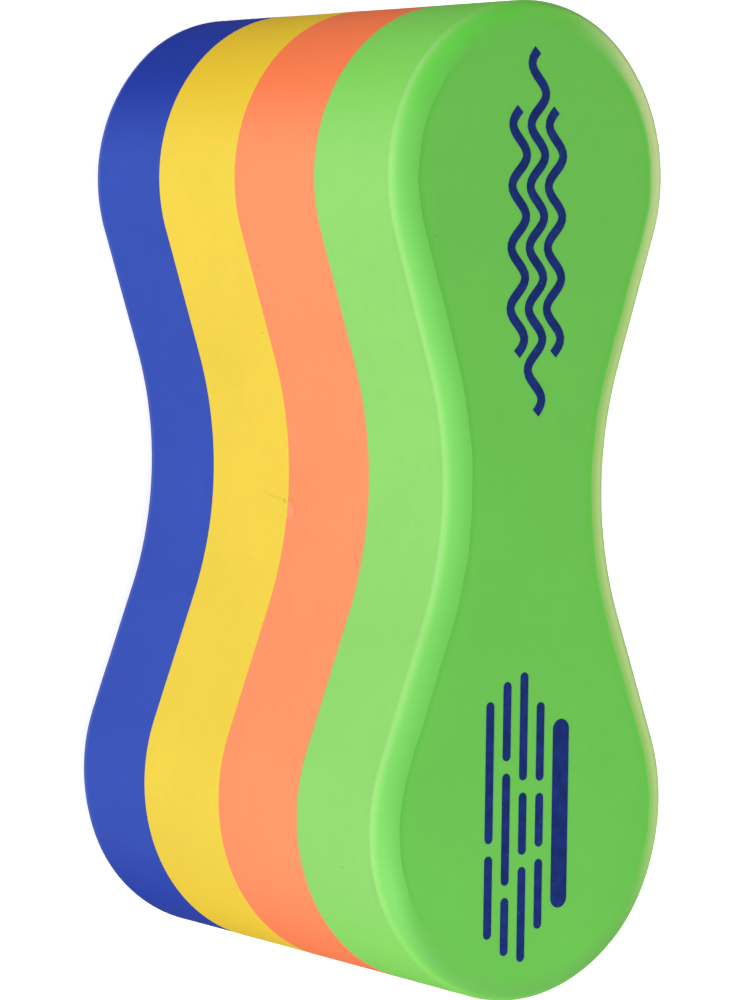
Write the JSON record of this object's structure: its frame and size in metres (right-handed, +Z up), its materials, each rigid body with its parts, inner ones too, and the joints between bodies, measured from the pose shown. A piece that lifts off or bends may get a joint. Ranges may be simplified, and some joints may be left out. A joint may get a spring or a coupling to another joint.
{
  "type": "pull buoy",
  "caption": "Waisted foam swimming float of glued coloured sheets, held between the thighs, with rounded outer rims and a printed face.",
  "frame": {"origin": "under the middle of the outline's box, on the back face that the float lies on", "axes": "+X across the width, +Y along the length towards the smaller lobe, +Z up through the sheets to the printed face"},
  "size_m": [0.09, 0.24, 0.1307],
  "materials": {
    "blue_foam": "closed-cell foam, matte, finely pored",
    "yellow_foam": "closed-cell foam, matte, finely pored",
    "orange_foam": "closed-cell foam, matte, finely pored",
    "green_foam": "closed-cell foam, matte, finely pored, smooth skin on the outer face",
    "glue": "dried clear adhesive",
    "navy_ink": "screen-printed ink, satin"
  },
  "bodies": {
    "root": {"back_sheet_blue": "blue_foam", "back_glue_film": "glue", "inner_sheet_yellow": "yellow_foam", "middle_glue_film": "glue", "inner_sheet_orange": "orange_foam", "front_glue_film": "glue", "front_sheet_green": "green_foam", "printed_waves": "navy_ink", "printed_dashes": "navy_ink"}
  },
  "joints": []
}
